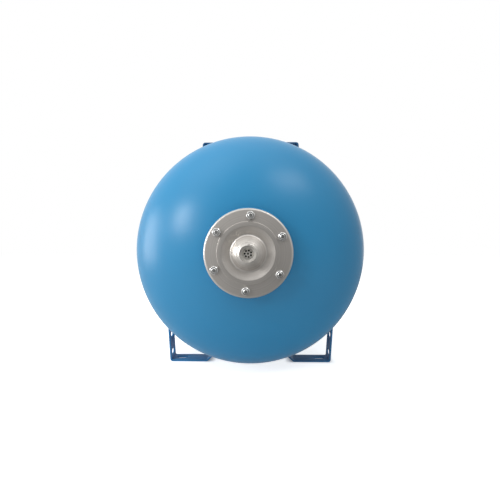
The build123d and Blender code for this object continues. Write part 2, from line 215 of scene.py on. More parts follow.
def loop(name: str, points: Sequence[Vector]) -> Piece:
    """Traces a closed line and merges its ends.

    Args:
        name: name of the piece.
        points: the corners of the line, in metres.

    Returns:
        The new object, in edit mode with all of it selected.
    """
    piece = trace(name, [*points, points[0]])
    bpy.ops.mesh.remove_doubles(threshold=MERGE)
    bpy.ops.mesh.select_all(action="SELECT")
    return piece


def close_mesh() -> None:
    """Merges doubles, turns the faces outwards and leaves edit mode."""
    bpy.ops.mesh.select_all(action="SELECT")
    bpy.ops.mesh.remove_doubles(threshold=MERGE)
    bpy.ops.mesh.normals_make_consistent(inside=False)
    bpy.ops.object.mode_set(mode="OBJECT")


def pick(piece: Piece, chosen: Callable[[bmesh.types.BMVert], bool]) -> None:
    """Selects, in edit mode, the corners that pass a test.

    Args:
        piece: the object in edit mode.
        chosen: the test.
    """
    bpy.ops.mesh.select_all(action="DESELECT")
    mesh = bmesh.from_edit_mesh(piece.data)
    for corner in mesh.verts:
        corner.select = chosen(corner)
    mesh.select_flush(True)
    bmesh.update_edit_mesh(piece.data)


def turned(
    name: str,
    outline: Sequence[Point],
    steps: int = 96,
    closed: bool = True,
    centre: Point = TANK_AXIS,
) -> Piece:
    """Piece turned about an axis along Y.

    Args:
        name: name of the piece.
        outline: station along Y and radius of each point, in millimetres.
        steps: faces round the piece.
        closed: joins the last point to the first.
        centre: X and Z of the axis, in millimetres.

    Returns:
        The turned piece, in object mode.
    """
    across, up = centre
    points = [spot(across, station, up + radius) for station, radius in outline]
    piece = trace(name, points + points[:1] if closed else points)
    bpy.ops.mesh.spin(steps=steps, angle=FULL_TURN, center=spot(across, 0, up), axis=(0, 1, 0))
    close_mesh()
    return piece


def spun(name: str, outline: Sequence[Point], steps: int) -> Piece:
    """Solid turned about the Y axis from an outline that starts and ends on it."""
    return turned(name, outline, steps, closed=False, centre=BENCH_AXIS)


def prism(name: str, outline: Sequence[Vector], sweep: Vector) -> Piece:
    """Flat outline drawn out into a solid.

    Args:
        name: name of the piece.
        outline: corners of the flat face, in metres.
        sweep: how far and which way the face is drawn out, in metres.

    Returns:
        The solid, in object mode.
    """
    piece = loop(name, outline)
    bpy.ops.mesh.edge_face_add()
    bpy.ops.mesh.extrude_region_move(TRANSFORM_OT_translate={"value": sweep})
    close_mesh()
    return piece


def make_active(piece: Piece) -> None:
    """Selects one piece alone and makes it active.

    Args:
        piece: the object.
    """
    bpy.ops.object.select_all(action="DESELECT")
    piece.select_set(True)
    bpy.context.view_layer.objects.active = piece


def modify(piece: Piece, kind: str, **settings: object) -> None:
    """Gives a piece a modifier and applies it.

    Args:
        piece: the object to change.
        kind: the modifier's type.
        settings: values of the modifier's properties.
    """
    make_active(piece)
    bpy.ops.object.modifier_add(type=kind)
    modifier = piece.modifiers[-1]
    for name, value in settings.items():
        setattr(modifier, name, value)
    bpy.ops.object.modifier_apply(modifier=modifier.name)


def carve(piece: Piece, tool: Piece, cut: Cut = Cut.REMOVE) -> None:
    """Cuts a piece with another solid, which is then thrown away.

    Args:
        piece: the object to cut.
        tool: the cutting solid.
        cut: what stays of the piece.
    """
    modify(piece, "BOOLEAN", object=tool, operation=cut.value, solver="EXACT")
    bpy.data.objects.remove(tool)


def drill(
    piece: Piece, radius: float, near: float, far: float, steps: int, centre: Point = BENCH_AXIS
) -> None:
    """Cuts a round hole along Y.

    Args:
        piece: the object to cut.
        radius: radius of the hole, in millimetres.
        near: station where it starts.
        far: station where it ends.
        steps: faces round it.
        centre: X and Z of its axis.
    """
    outline = [(near, 0.0), (near, radius), (far, radius), (far, 0.0)]
    carve(piece, turned("hole", outline, steps, closed=False, centre=centre))


def soften(piece: Piece, width: float) -> None:
    """Breaks the sharp edges of a piece to a width in millimetres."""
    modify(
        piece,
        "BEVEL",
        width=width * MM,
        segments=2,
        limit_method="ANGLE",
        angle_limit=math.radians(35),
        harden_normals=False,
    )


def copy_of(piece: Piece, name: str, change: Matrix) -> Piece:
    """Copies a piece with its own mesh and puts the copy in its place.

    Args:
        piece: the object to copy.
        name: name of the copy.
        change: the move from the piece to the copy, in metres.

    Returns:
        The copy, with its place in its mesh.
    """
    make_active(piece)
    bpy.ops.object.duplicate()
    twin = bpy.context.object
    twin.name = twin.data.name = name
    twin.matrix_world = change
    bpy.ops.object.transform_apply(location=True, rotation=True, scale=True)
    if change.determinant() < 0:
        bpy.ops.object.mode_set(mode="EDIT")
        close_mesh()
    return twin


def seated(piece: Piece, name: str, change: Matrix) -> Piece:
    """Moves a piece made about the origin to its seat.

    Args:
        piece: the object, which is thrown away.
        name: name of the moved piece.
        change: the move, in metres.

    Returns:
        The moved piece, with its place in its mesh.
    """
    moved = copy_of(piece, name, change)
    bpy.data.objects.remove(piece)
    return moved


def raised(piece: Piece, name: str) -> Piece:
    """Moves a piece made about the Y axis up to the tank's axis, under a new name."""
    return seated(piece, name, shift(0, 0, AXIS_HEIGHT))


def join(pieces: Sequence[Piece]) -> Piece:
    """Joins pieces into the first of them.

    Args:
        pieces: the objects.

    Returns:
        The first of them, with the others' meshes.
    """
    make_active(pieces[0])
    for piece in pieces[1:]:
        piece.select_set(True)
    bpy.ops.object.join()
    return pieces[0]


def ribbed(cap: Piece, rib: Piece, count: int, radius: float) -> Piece:
    """Sets copies of a rib round a cap and joins them to it.

    Args:
        cap: the cap, about the Y axis.
        rib: one rib, on the Y axis; it is thrown away.
        count: number of ribs.
        radius: distance of the ribs from the axis, in millimetres.

    Returns:
        The cap with its ribs.
    """
    parts = [cap]
    for index in range(count):
        turn = Matrix.Rotation(FULL_TURN * index / count, 4, "Y")
        parts.append(copy_of(rib, f"{rib.name}_{index}", turn @ shift(0, 0, radius)))
    bpy.data.objects.remove(rib)
    return join(parts)


def rippled(
    name: str, outline: Sequence[Point], rise: float, count: int, proud: Callable[[float, float], bool]
) -> Piece:
    """Ring of weld round the tank's axis with its overlapping ripples.

    Args:
        name: name of the weld.
        outline: station and radius of each point of its section, in millimetres.
        rise: height of a ripple.
        count: ripples round the ring.
        proud: says whether a point at a station and radius lies on the weld's open face.

    Returns:
        The weld, in object mode.
    """
    stages = 3
    weld = turned(name, outline, stages * count)
    bpy.ops.object.mode_set(mode="EDIT")
    for stage in range(1, stages):

        def on_ripple(corner: bmesh.types.BMVert, stage: int = stage) -> bool:
            """Tests whether a corner is proud and at a stage of its ripple.

            Args:
                corner: the corner.
                stage: the stage, from 0.

            Returns:
                Whether it is to be raised.
            """
            across, up = corner.co.x / MM, corner.co.z / MM - AXIS_HEIGHT
            part = round(math.atan2(across, up) / FULL_TURN * stages * count) % stages
            return part == stage and proud(corner.co.y / MM, math.hypot(across, up))

        pick(weld, on_ripple)
        bpy.ops.transform.shrink_fatten(value=rise * stage / 2 * MM)
    bpy.ops.object.mode_set(mode="OBJECT")
    return weld


def weld_rope(name: str, radius: float, length: float) -> Piece:
    """Straight bead of weld along Y with ripples and tapered ends, centred on the origin.

    Args:
        name: name of the bead.
        radius: half its width, in millimetres.
        length: its length.

    Returns:
        The bead, in object mode.
    """
    around, ripple_pitch = 10, 3
    swell = (0.9, 1.0, 1.08)
    end_size, next_size = 0.55, 0.8
    start = -length / 2
    turns = [FULL_TURN * side / around for side in range(around)]
    bead = loop(name, [spot(radius * math.cos(turn), start, radius * math.sin(turn)) for turn in turns])
    bpy.ops.mesh.edge_face_add()
    bpy.ops.transform.resize(value=(end_size, 1, end_size), center_override=spot(0, start, 0))
    size = end_size
    stages = round(length / ripple_pitch) * len(swell)
    for stage in range(1, stages + 1):
        wanted = swell[stage % len(swell)]
        if stage in (1, stages - 1):
            wanted = next_size
        if stage == stages:
            wanted = end_size
        bpy.ops.mesh.extrude_region_move(TRANSFORM_OT_translate={"value": spot(0, length / stages, 0)})
        share = wanted / size
        middle = spot(0, start + length * stage / stages, 0)
        bpy.ops.transform.resize(value=(share, 1, share), center_override=middle)
        size = wanted
    close_mesh()
    return bead


def thread_ridge(
    name: str, root: float, crest: float, pitch: float, start: float, turns: float, steps: int
) -> Piece:
    """Ridge of a screw thread about the Y axis, with tapered ends.

    Args:
        name: name of the ridge.
        root: radius where the ridge stands, in millimetres.
        crest: radius of its crest.
        pitch: distance between turns.
        start: station where it starts along Y.
        turns: number of turns.
        steps: faces in each turn.

    Returns:
        The ridge, in object mode.
    """
    foot, flat, sunk = pitch * 0.44, pitch * 0.09, 0.15
    section = [
        spot(0, start - foot, root - sunk),
        spot(0, start - flat, crest),
        spot(0, start + flat, crest),
        spot(0, start + foot, root - sunk),
    ]
    ridge = loop(name, section)
    bpy.ops.object.mode_set(mode="OBJECT")
    stations = round(turns * steps)
    modify(
        ridge,
        "SCREW",
        axis="Y",
        angle=FULL_TURN * stations / steps,
        screw_offset=pitch * stations / steps * MM,
        steps=stations,
        render_steps=stations,
        iterations=1,
        use_merge_vertices=False,
    )
    bpy.ops.object.mode_set(mode="EDIT")
    halfway = (root + crest) / 2 * MM

    def at(station: int, lowest: float = 0.0) -> Callable[[bmesh.types.BMVert], bool]:
        """Test for the corners of one station that lie beyond a radius."""
        numbers = range(station * len(section), (station + 1) * len(section))
        return lambda corner: corner.index in numbers and math.hypot(corner.co.x, corner.co.z) > lowest

    taper = steps // 3
    for index in range(taper):
        share = 1 - (crest - root) / crest * (1 - index / taper)
        for station in (index, stations - index):
            pick(ridge, at(station, halfway))
            bpy.ops.transform.resize(value=(share, 1, share), center_override=(0, 0, 0))
    for station in (0, stations):
        pick(ridge, at(station))
        bpy.ops.mesh.edge_face_add()
    bpy.ops.mesh.select_all(action="SELECT")
    bpy.ops.mesh.normals_make_consistent(inside=False)
    bpy.ops.object.mode_set(mode="OBJECT")
    return ridge


def hexagon(name: str, flats: float, near: float, far: float, face_share: float) -> Piece:
    """Hexagon about the Y axis with both ends chamfered at 30 degrees.

    Args:
        name: name of the piece.
        flats: width across the flats, in millimetres.
        near: station of its front face.
        far: station of its rear face.
        face_share: radius of the flat end faces as a share of half the width across flats.

    Returns:
        The hexagon, in object mode.
    """
    corner = flats / math.sqrt(3)
    angles = [side * math.pi / 3 for side in range(6)]
    outline = [spot(corner * math.sin(angle), near, corner * math.cos(angle)) for angle in angles]
    piece = prism(name, outline, spot(0, far - near, 0))
    face, clear, steps = flats / 2 * face_share, corner * 1.02, 72
    drop = (clear - face) * math.tan(math.radians(30))
    ends = [(near, 0), (near, face), (near + drop, clear), (far - drop, clear), (far, face), (far, 0)]
    tool = spun("chamfer", ends, steps)
    # Turned by half a facet: none of its edges meets a corner of the hexagon, where a cut can fail.
    tool.rotation_euler.y = math.pi / steps
    carve(piece, tool, Cut.KEEP_COMMON)
    return piece


def colour(code: str) -> tuple[float, float, float, float]:
    """Turns an sRGB colour to a linear one.

    Args:
        code: its hex code, such as "1F6FA5".

    Returns:
        Red, green, blue and alpha, from 0 to 1.
    """
    parts = [int(code[place : place + 2], 16) / 255 for place in (0, 2, 4)]
    red, green, blue = (
        part / 12.92 if part <= 0.04045 else ((part + 0.055) / 1.055) ** 2.4 for part in parts
    )
    return (red, green, blue, 1.0)


def add_node(
    tree: bpy.types.NodeTree,
    kind: str,
    inputs: dict[str | int, object] | None = None,
    **settings: object,
) -> bpy.types.Node:
    """Adds a node with its settings, its values and the links into it.

    Args:
        tree: the node tree.
        kind: the node's type.
        inputs: a value or a linked output for each input socket that isn't left as it is.
        settings: values of the node's own properties.

    Returns:
        The new node.
    """
    node = tree.nodes.new(kind)
    for name, value in settings.items():
        setattr(node, name, value)
    for name, value in (inputs or {}).items():
        if isinstance(value, bpy.types.NodeSocket):
            tree.links.new(value, node.inputs[name])
        else:
            node.inputs[name].default_value = value
    return node


@dataclass(frozen=True)
class Finish:
    """What every finish has: a name, a colour, a second colour it varies to, and a roughness."""

    name: str
    tone: str
    second_tone: str
    roughness: float
    metallic: float = 0.0

    def surface(self) -> tuple[bpy.types.Material, bpy.types.Node, bpy.types.NodeSocket]:
        """Starts the material.

        Returns:
            The material, its shader and the places on the object.
        """
        material = bpy.data.materials.new(self.name)
        material.use_nodes = True
        shader = material.node_tree.nodes["Principled BSDF"]
        shader.inputs["Metallic"].default_value = self.metallic
        shader.inputs["Roughness"].default_value = self.roughness
        places = add_node(material.node_tree, "ShaderNodeTexCoord")
        return material, shader, places.outputs["Object"]

    def vary_tone(self, shader: bpy.types.Node, pattern: bpy.types.NodeSocket) -> None:
        """Lets a pattern mix the two colours.

        Args:
            shader: the material's shader.
            pattern: the pattern, from 0 to 1.
        """
        tree = shader.id_data
        ends = {0: pattern, 6: colour(self.tone), 7: colour(self.second_tone)}
        mixed = add_node(tree, "ShaderNodeMix", ends, data_type="RGBA")
        tree.links.new(mixed.outputs[2], shader.inputs["Base Color"])

    def mark(
        self, shader: bpy.types.Node, pattern: bpy.types.NodeSocket, spread: float, depth: float
    ) -> None:
        """Lets one pattern vary the colour, the gloss and the relief together.

        Args:
            shader: the material's shader.
            pattern: the pattern, from 0 to 1.
            spread: how far the roughness goes up and down.
            depth: height of the relief, in millimetres.
        """
        tree = shader.id_data
        self.vary_tone(shader, pattern)
        limits = {"To Min": self.roughness - spread, "To Max": self.roughness + spread}
        rough = add_node(tree, "ShaderNodeMapRange", {"Value": pattern, **limits})
        tree.links.new(rough.outputs["Result"], shader.inputs["Roughness"])
        bump = add_node(
            tree, "ShaderNodeBump", {"Height": pattern, "Strength": 1.0, "Distance": depth * MM}
        )
        tree.links.new(bump.outputs["Normal"], shader.inputs["Normal"])


@dataclass(frozen=True)
class StovedEnamel(Finish):
    """Polyester powder stoved on steel: satin, with orange peel and the press's faint waves."""

    peel_size: float = 1.6
    peel_depth: float = 0.02
    peel_strength: float = 0.25
    wave_size: float = 70.0
    wave_depth: float = 0.6
    wave_strength: float = 0.5
    cloud_size: float = 120.0
    ior: float = 1.5

    def material(self) -> bpy.types.Material:
        """Makes the enamel."""
        material, shader, places = self.surface()
        tree = material.node_tree
        shader.inputs["IOR"].default_value = self.ior
        cloud = add_node(
            tree,
            "ShaderNodeTexNoise",
            {"Vector": places, "Scale": 1 / (self.cloud_size * MM), "Detail": 2.0},
        )
        self.vary_tone(shader, cloud.outputs["Fac"])
        normal = None
        for size, strength, depth in (
            (self.peel_size, self.peel_strength, self.peel_depth),
            (self.wave_size, self.wave_strength, self.wave_depth),
        ):
            pattern = add_node(
                tree, "ShaderNodeTexNoise", {"Vector": places, "Scale": 1 / (size * MM), "Detail": 1.0}
            )
            relief = {"Height": pattern.outputs["Fac"], "Strength": strength, "Distance": depth * MM}
            if normal:
                relief["Normal"] = normal
            normal = add_node(tree, "ShaderNodeBump", relief).outputs["Normal"]
        tree.links.new(normal, shader.inputs["Normal"])
        return material


@dataclass(frozen=True)
class TurnedMetal(Finish):
    """Metal finished in a lathe or polished as it spun: fine rings round the tank's axis."""

    ring_pitch: float = 1.8
    ring_depth: float = 0.012

    def material(self) -> bpy.types.Material:
        """Makes the turned metal."""
        material, shader, places = self.surface()
        tree = material.node_tree
        centred = add_node(
            tree,
            "ShaderNodeMapping",
            {"Vector": places, "Location": (0, 0, -AXIS_HEIGHT * MM), "Scale": (1, 0, 1)},
        )
        radius = add_node(tree, "ShaderNodeVectorMath", {0: centred.outputs[0]}, operation="LENGTH")
        rings = add_node(
            tree,
            "ShaderNodeTexNoise",
            {"W": radius.outputs["Value"], "Scale": 1 / (self.ring_pitch * MM), "Detail": 3.0},
            noise_dimensions="1D",
        )
        self.mark(shader, rings.outputs["Fac"], 0.06, self.ring_depth)
        return material


@dataclass(frozen=True)
class GrainedSurface(Finish):
    """Plated, moulded or rolled surface: an even grain in colour, gloss and relief."""

    grain: float = 1.0
    relief: float = 0.004
    ior: float = 1.5

    def material(self) -> bpy.types.Material:
        """Makes the grained surface."""
        material, shader, places = self.surface()
        if self.metallic == 0:
            shader.inputs["IOR"].default_value = self.ior
        grain = add_node(
            material.node_tree,
            "ShaderNodeTexNoise",
            {"Vector": places, "Scale": 1 / (self.grain * MM), "Detail": 3.0},
        )
        self.mark(shader, grain.outputs["Fac"], 0.05, self.relief)
        return material


class Finishes:
    """The finishes of the tank, each made once."""

    def __init__(self) -> None:
        """Makes every material."""
        # Powder stoved on pressed steel: an even satin blue, with faint orange peel in its reflections.
        self.vessel = StovedEnamel("stoved_polyester_enamel", "1B77A4", "1F7BA8", 0.32).material()
        # The same powder on flat strip: a duller blue without the dome's sharp highlights.
        self.foot = StovedEnamel("stoved_enamel_on_foot", "2274A8", "2678AC", 0.5).material()
        # The same powder on the brackets, given a darker blue that paints in the shade they sit in; as
        # dull as the feet.
        self.bracket = StovedEnamel("stoved_enamel_on_bracket", "174F76", "1A537A", 0.5).material()
        # Stainless sheet polished as it spun: soft highlights in fine rings round the tank's axis.
        self.cover = TurnedMetal("spun_stainless_sheet", "DAD6D1", "C4BFB9", 0.42, 1.0).material()
        # Steel turned in a lathe: tool marks closer together than the cover's rings.
        self.nipple = TurnedMetal("turned_steel", "DAD7D2", "C6C2BC", 0.4, 1.0, 0.6).material()
        # Bright zinc over rolled threads and nuts: pale, glossy faces with a slight grain.
        self.zinc = GrainedSurface("bright_zinc_plate", "E0E0DD", "CBCCCC", 0.22, 1.0, 0.8).material()
        # Thin stainless, punched and pressed: a pale, nearly matt cup with dark holes.
        self.strainer = GrainedSurface("stamped_stainless", "F0EEEA", "DEDCD7", 0.6, 1.0).material()
        # Rubber moulded in a sandblasted tool: matt black with a fine, dry grain.
        self.rubber = GrainedSurface(
            "moulded_rubber", "1E1E1F", "262627", 0.7, grain=1.2, relief=0.02
        ).material()
        # Brass left as it was turned: warm yellow with soft highlights.
        self.brass = GrainedSurface("turned_brass", "D8B763", "C7A552", 0.3, 1.0, 0.7).material()
        # Steel drawn through a die: a smooth grey pin with a clear highlight.
        self.pin = GrainedSurface("drawn_steel_pin", "C6C6C4", "ADADAB", 0.3, 1.0, 0.5).material()
        # Wire coiled as drawn: darker and a little duller than the pin.
        self.spring = GrainedSurface("spring_wire", "A9A9A7", "8D8D8B", 0.35, 1.0, 0.5).material()
        # Plastic moulded in a polished tool: black with a soft sheen along its ribs.
        self.cap = GrainedSurface(
            "moulded_polypropylene", "141415", "1C1C1D", 0.42, grain=0.8, relief=0.01
        ).material()


def dress(
    piece: Piece,
    material: bpy.types.Material,
    body: str = "tank",
    stands_for: Sequence[str] = (),
    sharp: float = 35.0,
) -> None:
    """Finishes a piece and hangs it on its body.

    Args:
        piece: the finished object.
        material: its finish.
        body: the body that it moves with.
        stands_for: CAD nodes that it replaces.
        sharp: angle in degrees from which an edge stays sharp.
    """
    make_active(piece)
    bpy.ops.object.shade_smooth_by_angle(angle=math.radians(sharp))
    piece.data.materials.clear()
    piece.data.materials.append(material)
    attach(piece, body)
    if stands_for:
        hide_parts(*stands_for)
    log.info("%s: %d faces", piece.name, len(piece.data.polygons))


def dress_solids(finishes: Finishes) -> None:
    """Gives the solids that keep their CAD shape their finishes."""
    for node, material in (
        ("valve_gasket", finishes.rubber),
        ("valve_core", finishes.brass),
        ("valve_pin", finishes.pin),
        ("membrane", finishes.rubber),
        ("nipple_strainer", finishes.strainer),
    ):
        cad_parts[node].material_slots[0].material = material
        log.info("%s keeps its solid", node)


@dataclass
class Vessel:
    """Rolled barrel, two dished heads, neck ring and the welds that join them."""

    finishes: Finishes
    radius: float = 225.0
    sheet: float = 2.0
    front_shoulder: float = -177.0
    rear_shoulder: float = 183.0
    head_depth: float = 112.5
    head_arcs: int = 56
    skirt: float = 25.0
    joggle: float = 12.0
    joggle_gap: float = 0.2
    opening: float = 50.0
    boss_hole: float = 14.0
    around: int = 192
    girth_half_width: float = 4.0
    girth_rise: float = 1.15
    seam_radius: float = 3.4
    seam_flatness: float = 0.32
    ring_front: float = -299.5
    ring_radius: float = 71.5
    ring_edge: float = 1.5
    ring_weld: float = 6.0
    lip_recess: float = 3.0
    lip_radius: float = 56.0

    def head_rise(self, radius: float) -> float:
        """How far the outside of a head stands beyond its shoulder at a radius, in millimetres."""
        return self.head_depth * math.sqrt(1 - (radius / self.radius) ** 2)

    def head_outline(self, shoulder: float, outward: int, hole: float) -> list[Point]:
        """Outline of a head with its skirt and the stepped edge that fits in the barrel.

        Args:
            shoulder: station where the dome starts.
            outward: -1 for the front head and 1 for the rear one.
            hole: radius of the hole in its middle.

        Returns:
            The closed outline.
        """
        faces: list[list[Point]] = []
        inside = self.radius - self.sheet
        for depth, radius in ((self.head_depth, self.radius), (self.head_depth - self.sheet, inside)):
            start = math.asin(hole / radius)
            face: list[Point] = []
            for index in range(self.head_arcs + 1):
                turn = start + (math.pi / 2 - start) * index / self.head_arcs
                face.append((shoulder + outward * depth * math.cos(turn), radius * math.sin(turn)))
            faces.append(face)
        outer, inner = faces
        end = shoulder - outward * self.skirt
        step = inside - self.joggle_gap
        edge = [
            (end, self.radius),
            (end, step),
            (end - outward * self.joggle, step),
            (end - outward * self.joggle, step - self.sheet),
            (end + outward * self.sheet, step - self.sheet),
            (end + outward * self.sheet, inside),
        ]
        return [*outer, *edge, *reversed(inner)]

    def build(self) -> None:
        """Builds and dresses the vessel."""
        for name, shoulder, outward, hole in (
            ("front_head", self.front_shoulder, -1, self.opening),
            ("rear_head", self.rear_shoulder, 1, self.boss_hole),
        ):
            outline = self.head_outline(shoulder, outward, hole)
            head = turned(f"dished_{name}", outline, self.around)
            dress(head, self.finishes.vessel, stands_for=[name])
        front_edge = self.front_shoulder + self.skirt
        rear_edge = self.rear_shoulder - self.skirt
        wall = walled([(front_edge, self.radius), (rear_edge, self.radius)], -self.sheet)
        barrel = turned("rolled_barrel", wall, self.around)
        dress(barrel, self.finishes.vessel, stands_for=["barrel"])
        self.girth_weld("girth_weld_front", front_edge)
        self.girth_weld("girth_weld_rear", rear_edge)
        self.seam_weld(front_edge, rear_edge)
        self.neck()

    def girth_weld(self, name: str, station: float) -> None:
        """Builds the rippled weld round one end of the barrel.

        Args:
            name: name of the weld.
            station: the barrel's edge along Y.
        """
        half, arcs, sunk = self.girth_half_width, 8, self.radius - 0.5
        outline = [(station - half, sunk)]
        for index in range(arcs + 1):
            angle = math.pi * index / arcs
            radius = self.radius + self.girth_rise * math.sin(angle)
            outline.append((station - half * math.cos(angle), radius))
        outline.append((station + half, sunk))
        crest = self.radius + 0.2
        weld = rippled(name, outline, rise=0.3, count=440, proud=lambda _, radius: radius > crest)
        dress(weld, self.finishes.vessel, sharp=60)

    def seam_weld(self, front_edge: float, rear_edge: float) -> None:
        """Builds the straight weld of the barrel, underneath.

        Args:
            front_edge: station of the barrel's front edge.
            rear_edge: station of its rear edge.
        """
        end_gap = 1.0
        rope = weld_rope("seam_weld", self.seam_radius, rear_edge - front_edge - 2 * end_gap)
        flatten = Matrix.Diagonal((1.0, 1.0, self.seam_flatness, 1.0))
        seat = shift(0, (front_edge + rear_edge) / 2, AXIS_HEIGHT - self.radius)
        seam = seated(rope, "barrel_seam_weld", seat @ flatten)
        dress(seam, self.finishes.vessel, sharp=60)

    def neck(self) -> None:
        """Builds the thick ring round the opening and its fillet weld."""
        back_radii = (self.ring_radius, 64.0, 57.0, self.opening)
        outline = [
            *((self.front_shoulder - self.head_rise(radius), radius) for radius in back_radii),
            (self.ring_front + self.lip_recess, self.opening),
            (self.ring_front + self.lip_recess, self.lip_radius),
            (self.ring_front, self.lip_radius),
            (self.ring_front, self.ring_radius - self.ring_edge),
            (self.ring_front + self.ring_edge, self.ring_radius),
        ]
        ring = turned("reinforcing_ring", outline, 128)
        dress(ring, self.finishes.vessel, stands_for=["neck_ring"])
        toe = self.ring_radius + self.ring_weld
        foot = self.front_shoulder - self.head_rise(toe)
        top = self.front_shoulder - self.head_rise(self.ring_radius) - self.ring_weld
        outline = [
            (foot + 0.6, toe - 0.6),
            *bulged((foot, toe), (top, self.ring_radius), (-0.7, 0.42), first=0),
            (top + 0.5, self.ring_radius - 0.6),
            (foot + 1, self.ring_radius - 0.6),
        ]
        weld = rippled(
            "ring_fillet_weld",
            outline,
            rise=0.35,
            count=150,
            proud=lambda station, radius: radius > self.ring_radius + 0.5 and station < foot - 0.3,
        )
        dress(weld, self.finishes.vessel, sharp=60)


@dataclass
class CoverFlange:
    """Pressed cover with the water nipple, its strainer, and the studs and nuts that hold it."""

    finishes: Finishes
    face: float = -302.5
    radius: float = 75.0
    sheet: float = 3.0
    cone_rise: float = 8.0
    land_radius: float = 19.0
    channel_radius: float = 30.5
    channel_depth: float = 4.5
    band_inner: float = 45.0
    band_outer: float = 52.5
    band_rise: float = 1.2
    step_width: float = 0.25
    bend: float = 4.0
    rim_depth: float = 6.0
    nipple_end: float = -332.5
    nipple_radius: float = 16.6
    nipple_bore: float = 11.0
    mouth_radius: float = 13.2
    mouth_depth: float = 9.0
    thread_pitch: float = 2.309
    thread_depth: float = 1.4
    nipple_weld: float = 2.0
    stud_ring: float = 62.5
    stud_turn: float = 3.7
    stud_count: int = 6
    stud_radius: float = 4.0
    stud_root: float = 3.35
    stud_pitch: float = 1.25
    stud_gap: float = 0.5
    nut_flats: float = 13.0
    nut_height: float = 6.5
    nut_turn: float = 17.0

    def stud_places(self) -> list[Point]:
        """X and Z of each stud, in millimetres."""
        places: list[Point] = []
        for index in range(self.stud_count):
            angle = math.radians(90 - self.stud_turn + 360 * index / self.stud_count)
            up = AXIS_HEIGHT + self.stud_ring * math.sin(angle)
            places.append((self.stud_ring * math.cos(angle), up))
        return places

    def build(self) -> None:
        """Builds and dresses the cover with all that it carries."""
        self.pressed_sheet()
        self.nipple()
        self.fasteners()

    def pressed_sheet(self) -> None:
        """Builds the pressed cover with its turned-back rim, band, channel and cone."""
        face, bend = self.face, self.bend
        line = rounded(
            [
                (face - self.cone_rise, self.nipple_radius, 0),
                (face - self.cone_rise, self.land_radius, bend),
                (face + self.channel_depth, self.channel_radius, bend),
                (face - self.band_rise, self.band_inner, 3.2),
                (face - self.band_rise, self.band_outer, 0.3),
                (face, self.band_outer + self.step_width, 0.3),
                (face, self.radius, bend),
                (face + self.rim_depth, self.radius, 0),
            ]
        )
        cover = turned("pressed_cover", walled(line, -self.sheet), 180)
        for place in self.stud_places():
            drill(cover, self.stud_radius + self.stud_gap, face - 5, face + 8, steps=32, centre=place)
        dress(cover, self.finishes.cover, stands_for=["flange_cover"])

    def nipple(self) -> None:
        """Builds the water nipple with its pipe thread and the weld round its root."""
        outer, end = self.nipple_radius, self.nipple_end
        root = outer - self.thread_depth
        land = self.face - self.cone_rise
        ledge = end + self.mouth_depth
        inside = land + 6
        mouth = [
            (inside, self.nipple_bore, 0),
            (ledge, self.nipple_bore, 0.4),
            (ledge, self.mouth_radius, 0.3),
            (end, self.mouth_radius, 0.3),
            (end, self.mouth_radius + 0.5, 0.2),
            (end + 1.5, root, 0),
        ]
        outline = [*rounded(mouth, 30), (land - 4.2, root), (land - 3.6, outer), (inside, outer)]
        body = turned("nipple_body", outline, 128)
        turns = (land - 4.6 - end - 1.6) / self.thread_pitch
        ridge = thread_ridge("nipple_thread", root, outer, self.thread_pitch, end + 1.3, turns, steps=64)
        nipple = join([body, raised(ridge, "nipple_thread_raised")])
        nipple.name = nipple.data.name = "threaded_nipple"
        dress(nipple, self.finishes.nipple, stands_for=["water_nipple"])
        toe, top = outer + self.nipple_weld, land - self.nipple_weld
        outline = [
            (land + 0.3, outer - 0.4),
            (land + 0.3, toe + 0.1),
            *bulged((land, toe), (top, outer), (-0.25, 0.25)),
            (top, outer),
            (top, outer - 0.4),
        ]
        weld = rippled(
            "nipple_fillet_weld",
            outline,
            rise=0.18,
            count=48,
            proud=lambda station, radius: radius > outer + 0.2 and station < land - 0.2,
        )
        dress(weld, self.finishes.nipple, sharp=60)

    def fasteners(self) -> None:
        """Builds one stud and one nut and sets a copy of each at every place."""
        near, far, root = self.face - 8.5, self.face + 11, self.stud_root
        outline = [(near, 0), (near, 2.9), (near + 0.5, root), (far - 0.6, root), (far, 2.8), (far, 0)]
        shank = spun("stud_shank", outline, 36)
        crest, pitch = self.stud_radius, self.stud_pitch
        ridge = thread_ridge("stud_thread", root, crest, pitch, near + 1.1, turns=13.5, steps=36)
        stud = join([shank, ridge])
        nut_front = self.face - self.nut_height
        nut = hexagon("nut", self.nut_flats, nut_front, self.face, face_share=0.86)
        bore, mouth, back_mouth = 4.05, 5.1, 5.3
        hole = [
            (nut_front - 1, 0),
            (nut_front - 1, mouth),
            (nut_front + 0.4, bore),
            (self.face - 0.6, bore),
            (self.face + 1, back_mouth),
            (self.face + 1, 0),
        ]
        carve(nut, spun("bore", hole, 48))
        soften(nut, 0.18)
        for index, (across, up) in enumerate(self.stud_places(), 1):
            seat = shift(across, 0, up)
            one = copy_of(stud, f"threaded_stud_{index}", seat)
            dress(one, self.finishes.zinc, stands_for=["cover_studs"])
            turn = Matrix.Rotation(math.radians(self.nut_turn * index), 4, "Y")
            other = copy_of(nut, f"hex_nut_{index}", seat @ turn)
            dress(other, self.finishes.zinc, stands_for=["cover_nuts"], sharp=25)
        bpy.data.objects.remove(stud)
        bpy.data.objects.remove(nut)


